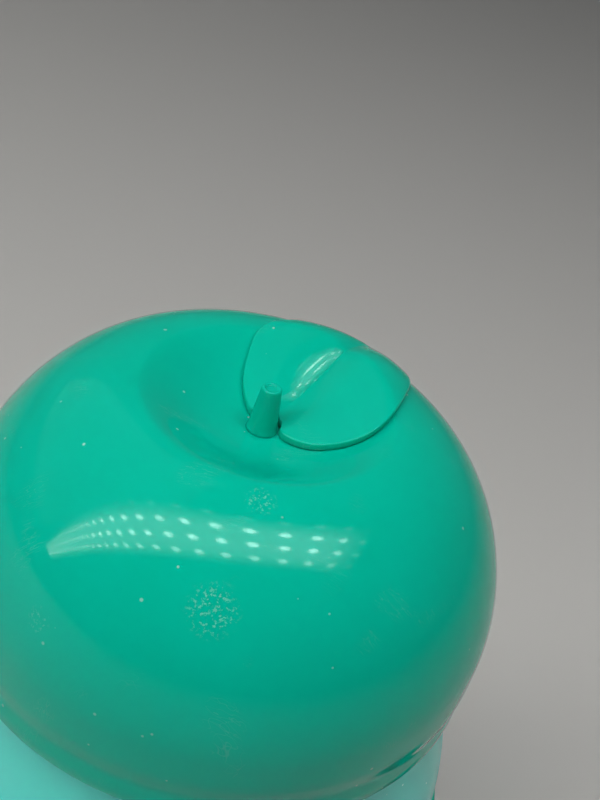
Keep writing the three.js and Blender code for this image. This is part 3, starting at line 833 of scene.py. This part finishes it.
def make_gasket():
    base = CUP_RIM + TOUCH_GAP
    inside, outside, thickness, corner = 34.1, 37.0, 1.5, 0.45
    outline = rounded([(inside, base, corner), (outside, base, corner),
                       (outside, base + thickness, corner), (inside, base + thickness, corner)])
    gasket = turned("seal_ring", outline, silicone, sides=160)
    weigh_normals(gasket)
    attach(gasket, "lid")
    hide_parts("rim_gasket")


def make_lid_plate():
    socket_foot = PLATE_BASE - 8.2
    corners = [
        (12.4, PLATE_BASE, 0.3), (SOCKET_RADIUS, PLATE_BASE, 0.3),
        (SOCKET_RADIUS, socket_foot, 0.3), (SOCKET_RADIUS + SOCKET_WALL, socket_foot, 0.4),
        (SOCKET_RADIUS + SOCKET_WALL, PLATE_BASE, 0.5), (37.1, PLATE_BASE, 0.4),
        (37.1, PLATE_TOP, 0.4), (12.4, PLATE_TOP, 0.4),
    ]
    plate = turned("lid_disc", rounded(corners, steps=4), clear_plate, sides=192)
    hole = turned("vent_hole", [(0, 85), (2, 85), (2, 98), (0, 98)], clear_plate, 32, False)
    hole.data.transform(Matrix.Translation((0, VENT_OFFSET * MM, 0)))
    cut(plate, hole)
    weigh_normals(plate)
    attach(plate, "lid")
    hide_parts("lid_plate")


def make_spout():
    lip_top = PLATE_BASE - TOUCH_GAP
    shoulder = PLATE_TOP + TOUCH_GAP
    tip, wall, neck = 8.6, 1.5, 12.1
    corners = [
        (neck - wall, lip_top - 1.5, 0.4), (15.4, lip_top - 1.5, 0.5), (15.4, lip_top, 0.4),
        (neck, lip_top, 0.3), (neck, shoulder, 0.3), (15.4, shoulder, 0.4),
        (15.0, shoulder + 1.4, 1.2), (tip + 2.6, shoulder + 7, 4), (tip + 0.3, shoulder + 14, 5),
        (tip, SPOUT_TOP - 8, 3), (tip + 0.5, SPOUT_TOP - 4.5, 2), (tip - 0.8, SPOUT_TOP - 1.6, 1.4),
        (tip * 0.6, SPOUT_TOP, 2.2), (0, SPOUT_TOP),
    ]
    inside = [
        (0, SPOUT_TOP - wall), (tip * 0.6 - 0.5, SPOUT_TOP - wall, 1.6),
        (tip - 0.8 - wall, SPOUT_TOP - 1.6 - wall, 1), (tip - wall, SPOUT_TOP - 8, 3),
        (tip + 0.3 - wall, shoulder + 14, 4), (neck - wall, shoulder + 4, 3),
        (neck - wall, lip_top - 1.5),
    ]
    outer = spaced(rounded(corners, steps=7, closed=False), 0.5, closed=False)
    inner = spaced(rounded(inside, steps=5, closed=False), 0.6, closed=False)

    def flattened(radii, heights, angles):
        rise = np.clip((heights - PLATE_TOP - 2) / 12, 0, 1)
        narrow = 1 - 0.22 * rise
        turn = np.hypot(np.cos(angles), np.sin(angles) * narrow)
        return radii * turn, heights

    outline = np.vstack([inner[:-1], outer])
    spout = turned("soft_spout", outline, silicone, sides=96, closed=False, shape=flattened)
    holes = []
    for side in (-1, 0, 1):
        hole = turned("drink_hole", [(0, SPOUT_TOP - 4), (0.8, SPOUT_TOP - 4),
                                     (0.8, SPOUT_TOP - 0.5), (1.3, SPOUT_TOP + 1), (0, SPOUT_TOP + 1)],
                      silicone, 24, False)
        hole.data.transform(Matrix.Translation((side * 3.4 * MM, 0, 0)))
        holes.append(hole)
    cut(spout, *holes)
    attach(spout, "lid")
    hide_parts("spout")


def make_flow_valve():
    top = PLATE_BASE - 2.1
    outside = SOCKET_RADIUS - TOUCH_GAP
    rim_top = PLATE_BASE - 8.5
    rim_base = rim_top - 1.5
    rim = SOCKET_RADIUS + SOCKET_WALL
    corners = [
        (0, rim_base + 1.6), (4.2, rim_base + 1.6, 0.8),
        (outside - 2.4, rim_base, 0.8), (rim, rim_base, 0.5),
        (rim, rim_top, 0.5), (outside, rim_top, 0.3), (outside, top, 0.5), (outside - 1.4, top, 0.5),
        (outside - 1.4, rim_top + 0.4, 0.8), (4.2, rim_top + 1.8, 0.8), (0, rim_top + 1.8),
    ]
    outline = spaced(rounded(corners, steps=5, closed=False), 0.8, closed=False)
    valve = turned("valve_cup", outline, silicone, sides=96, closed=False)
    slits = []
    for x, y in ((2.5, 0.06), (0.06, 2.5)):
        slits.append(add_box("slit", (-x, -y, rim_base - 3), (x, y, rim_top + 5), silicone))
    cut(valve, *slits)
    tab = add_box("tab", (-3, 10.2, rim_base - 6), (3, 11.8, rim_base + 0.6), silicone)
    bevel = tab.modifiers.new("soft edges", "BEVEL")
    bevel.width = 0.6 * MM
    bevel.segments = 4
    join = valve.modifiers.new("pull tab", "BOOLEAN")
    join.operation = "UNION"
    join.object = tab
    join.solver = "EXACT"
    apply_modifiers(valve)
    bpy.data.objects.remove(tab)
    weigh_normals(valve)
    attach(valve, "valve")
    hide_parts("flow_valve")


def add_box(name, low, high, material):
    """A plain block that is bevelled, cut with or joined on afterwards."""
    x, y, z = zip(low, high)
    vertices = [(x[i], y[j], z[k]) for i in (0, 1) for j in (0, 1) for k in (0, 1)]
    faces = [(0, 1, 3, 2), (4, 6, 7, 5), (0, 4, 5, 1), (2, 3, 7, 6), (0, 2, 6, 4), (1, 5, 7, 3)]
    return add_piece(name, vertices, faces, material, smooth=False)


def make_vent_valve():
    head = PLATE_TOP + TOUCH_GAP
    under = PLATE_BASE - TOUCH_GAP
    outline = rounded([
        (0, under - 4), (1.0, under - 4, 0.4), (3.0, under, 0.4), (1.7, under, 0.2), (1.7, head, 0.2),
        (3.4, head, 0.3), (3.0, head + 1.0, 0.6), (0, head + 1.2),
    ], steps=6, closed=False)
    vent = turned("vent_plug", outline, silicone, sides=48, closed=False)
    vent.data.transform(Matrix.Translation((0, VENT_OFFSET * MM, 0)))
    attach(vent, "lid")
    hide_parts("vent_valve")


# ---- handles ------------------------------------------------------------------------

def bezier(a, b, c, d, steps):
    """Points along one cubic curve, without its last point."""
    t = np.arange(steps)[:, None] / steps
    a, b, c, d = (np.array(p, float) for p in (a, b, c, d))
    return a * (1 - t) ** 3 + 3 * b * t * (1 - t) ** 2 + 3 * c * t ** 2 * (1 - t) + d * t ** 3


def loop_line(inset, steps=40):
    """The loop's side view in X and Z, moved in from its outside by this much."""
    inside = LOOP_INSIDE + inset
    outside = LOOP_INSIDE + LOOP_WIDTH - inset
    top = LOOP_TOP - inset
    bottom = LOOP_TOP - LOOP_HEIGHT + inset
    width, height = outside - inside, top - bottom
    return np.vstack([
        bezier((inside, top), (inside + width * 0.4, top), (outside, top - height * 0.08),
               (outside, top - height * 0.45), steps),
        bezier((outside, top - height * 0.45), (outside, bottom + height * 0.2),
               (outside - width * 0.3, bottom), (inside + width * 0.35, bottom), steps),
        bezier((inside + width * 0.35, bottom), (inside + width * 0.1, bottom),
               (inside, bottom + height * 0.08), (inside, bottom + height * 0.25), steps // 2),
        bezier((inside, bottom + height * 0.25), (inside, bottom + height * 0.5),
               (inside, top - height * 0.25), (inside, top), steps),
    ])


def evenly(line, count):
    """The same open line, as this many points at even distances."""
    steps = np.linalg.norm(np.diff(line, axis=0), axis=1)
    along = np.concatenate([[0], np.cumsum(steps)])
    wanted = np.linspace(0, along[-1], count)
    return np.stack([np.interp(wanted, along, line[:, k]) for k in (0, 1)], axis=1)


def make_handle_frame():
    ring = turned("ring", rounded([(36.1, RING_BASE, 0.4), (RING_RADIUS, RING_BASE, 0.7),
                                   (RING_RADIUS, RING_TOP, 0.7), (36.1, RING_TOP, 0.4)]),
                  emerald, sides=192)
    parts = [ring]
    middle = loop_line(LIMB_WIDTH / 2)
    for turn in (0, math.pi):
        count = len(middle)
        loop = swept("loop", middle, [LIMB_WIDTH] * count, [LIMB_DEPTH] * count, emerald, True)
        low = (SHOULDER_RADIUS + 0.5, -LINK_HALF_WIDTH, RING_BASE - LINK_HANG)
        link = add_box("link", low, (LINK_REACH, LINK_HALF_WIDTH, RING_BASE + 2), emerald)
        for part in (loop, link):
            part.data.transform(Matrix.Rotation(turn, 4, "Z"))
            parts.append(part)
    handles = melted("handle_ring", parts, emerald, 0.42, 6)
    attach(handles, "cup")
    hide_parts("handle_frame")


def make_grip(name, cad_node, turn):
    line = loop_line(LIMB_WIDTH / 2)
    gripped = (line[:, 0] > LOOP_INSIDE + 18) & (line[:, 1] < LOOP_TOP - 5.5)
    outer_part = evenly(line[gripped & (line[:, 1] > LOOP_TOP - LOOP_HEIGHT + 5.5)], 150)
    count = len(outer_part)
    along = np.linspace(0, 1, count)
    rib_area = np.clip(np.minimum(along, 1 - along) * 9 - 0.5, 0, 1)
    ribs = 0.5 - 0.5 * np.cos(along * FULL_TURN * 13)
    end_round = np.sqrt(np.clip(1 - np.clip(1 - np.minimum(along, 1 - along) * 28, 0, 1) ** 2, 0, 1))
    wall = GRIP_WALL * (0.3 + 0.7 * end_round) - 0.42 * ribs * rib_area
    outer = swept(name, outer_part, LIMB_WIDTH + 2 * wall, LIMB_DEPTH + 2 * wall, grip_rubber, False, 36)
    bore = swept("bore", extended(outer_part, 2), [LIMB_WIDTH + 0.12] * (count + 2),
                 [LIMB_DEPTH + 0.12] * (count + 2), grip_rubber, False, 36)
    cut(outer, bore)
    outer.data.transform(Matrix.Rotation(turn, 4, "Z"))
    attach(outer, "cup")
    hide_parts(cad_node)


def extended(line, by):
    """The same line with one more point beyond each end."""
    start = line[0] + (line[0] - line[1]) / np.linalg.norm(line[0] - line[1]) * by
    end = line[-1] + (line[-1] - line[-2]) / np.linalg.norm(line[-1] - line[-2]) * by
    return np.vstack([start, line, end])


make_cover()
make_stem()
make_stem_clip()
make_leaf()
make_collar()
make_cup()
make_boot()
make_gasket()
make_lid_plate()
make_spout()
make_flow_valve()
make_vent_valve()
make_handle_frame()
make_grip("grip_sleeve_right", "grip_right", 0)
make_grip("grip_sleeve_left", "grip_left", math.pi)


# ---- floor and light -------------------------------------------------------------------

def make_floor():
    material = bpy.data.materials.new("pale floor")
    material.use_nodes = True
    surface = material.node_tree.nodes["Principled BSDF"]
    surface.inputs["Base Color"].default_value = (0.49, 0.49, 0.48, 1)
    surface.inputs["Roughness"].default_value = 0.75
    size = 3000
    floor = add_piece("floor", [(-size, -size, 0), (size, -size, 0), (size, size, 0), (-size, size, 0)],
                      [(0, 1, 2, 3)], material)


def make_light(name, place, aim, size, power, colour):
    """A soft rectangular light; places in metres."""
    data = bpy.data.lights.new(name, "AREA")
    data.shape = "RECTANGLE"
    data.size, data.size_y = size
    data.energy = power
    data.color = colour
    light = bpy.data.objects.new(name, data)
    light.location = place
    light.rotation_euler = (Vector(aim) - Vector(place)).to_track_quat("-Z", "Y").to_euler()
    bpy.context.collection.objects.link(light)
    return light


def show_lamp_dots(lamp):
    """Rows of small bright diodes that show through the lamp's diffuser."""
    lamp.use_nodes = True
    tree = lamp.node_tree
    across = node(tree, "ShaderNodeNewGeometry").outputs["Parametric"]
    rows = node(tree, "ShaderNodeMapping", {"Scale": (40, 4, 1), "Rotation": (0, 0, 0.02)},
                {"Vector": across})
    cell = node(tree, "ShaderNodeVectorMath", operation="FRACTION", links={0: rows.outputs[0]})
    apart = node(tree, "ShaderNodeVectorMath", {1: (0.5, 0.5, 0)}, {0: cell.outputs[0]},
                 operation="DISTANCE")
    dot = maths(tree, "SUBTRACT", 1.0, ramp(tree, apart.outputs["Value"], 0.1, 0.24))
    glow = maths(tree, "MULTIPLY_ADD", dot, 5.0, 0.9)
    ends = node(tree, "ShaderNodeSeparateXYZ", links={"Vector": across})
    from_edge = maths(tree, "SUBTRACT", 0.5, maths(tree, "ABSOLUTE", maths(
        tree, "SUBTRACT", ends.outputs["Y"], 0.5)))
    from_end = maths(tree, "SUBTRACT", 0.5, maths(tree, "ABSOLUTE", maths(
        tree, "SUBTRACT", ends.outputs["X"], 0.5)))
    soft = maths(tree, "MULTIPLY", ramp(tree, from_edge, 0.0, 0.36), ramp(tree, from_end, 0.0, 0.06))
    tree.links.new(maths(tree, "MULTIPLY", glow, soft), tree.nodes["Emission"].inputs["Strength"])


def make_lights():
    middle = (0, 0, SKIRT_HEIGHT * MM)
    overhead = (-1.55, -0.65, 0.7)
    below = (-1.55, -0.65, 0)
    strip = make_light("ceiling strip", overhead, below, (4.35, 0.4), 27, (1, 0.98, 0.95))
    strip.rotation_euler = (0, 0, math.radians(17))
    show_lamp_dots(strip.data)
    make_light("high soft fill", (-1.5, 0.5, 1.7), middle, (2.8, 2.8), 3.8, (0.98, 1, 1))
    world = bpy.data.worlds.new("studio air")
    bpy.context.scene.world = world
    world.use_nodes = True
    air = world.node_tree.nodes["Background"]
    air.inputs["Color"].default_value = (0.8, 0.82, 0.84, 1)
    air.inputs["Strength"].default_value = 0.1
    bpy.context.scene.view_settings.view_transform = "Standard"


make_floor()
make_lights()
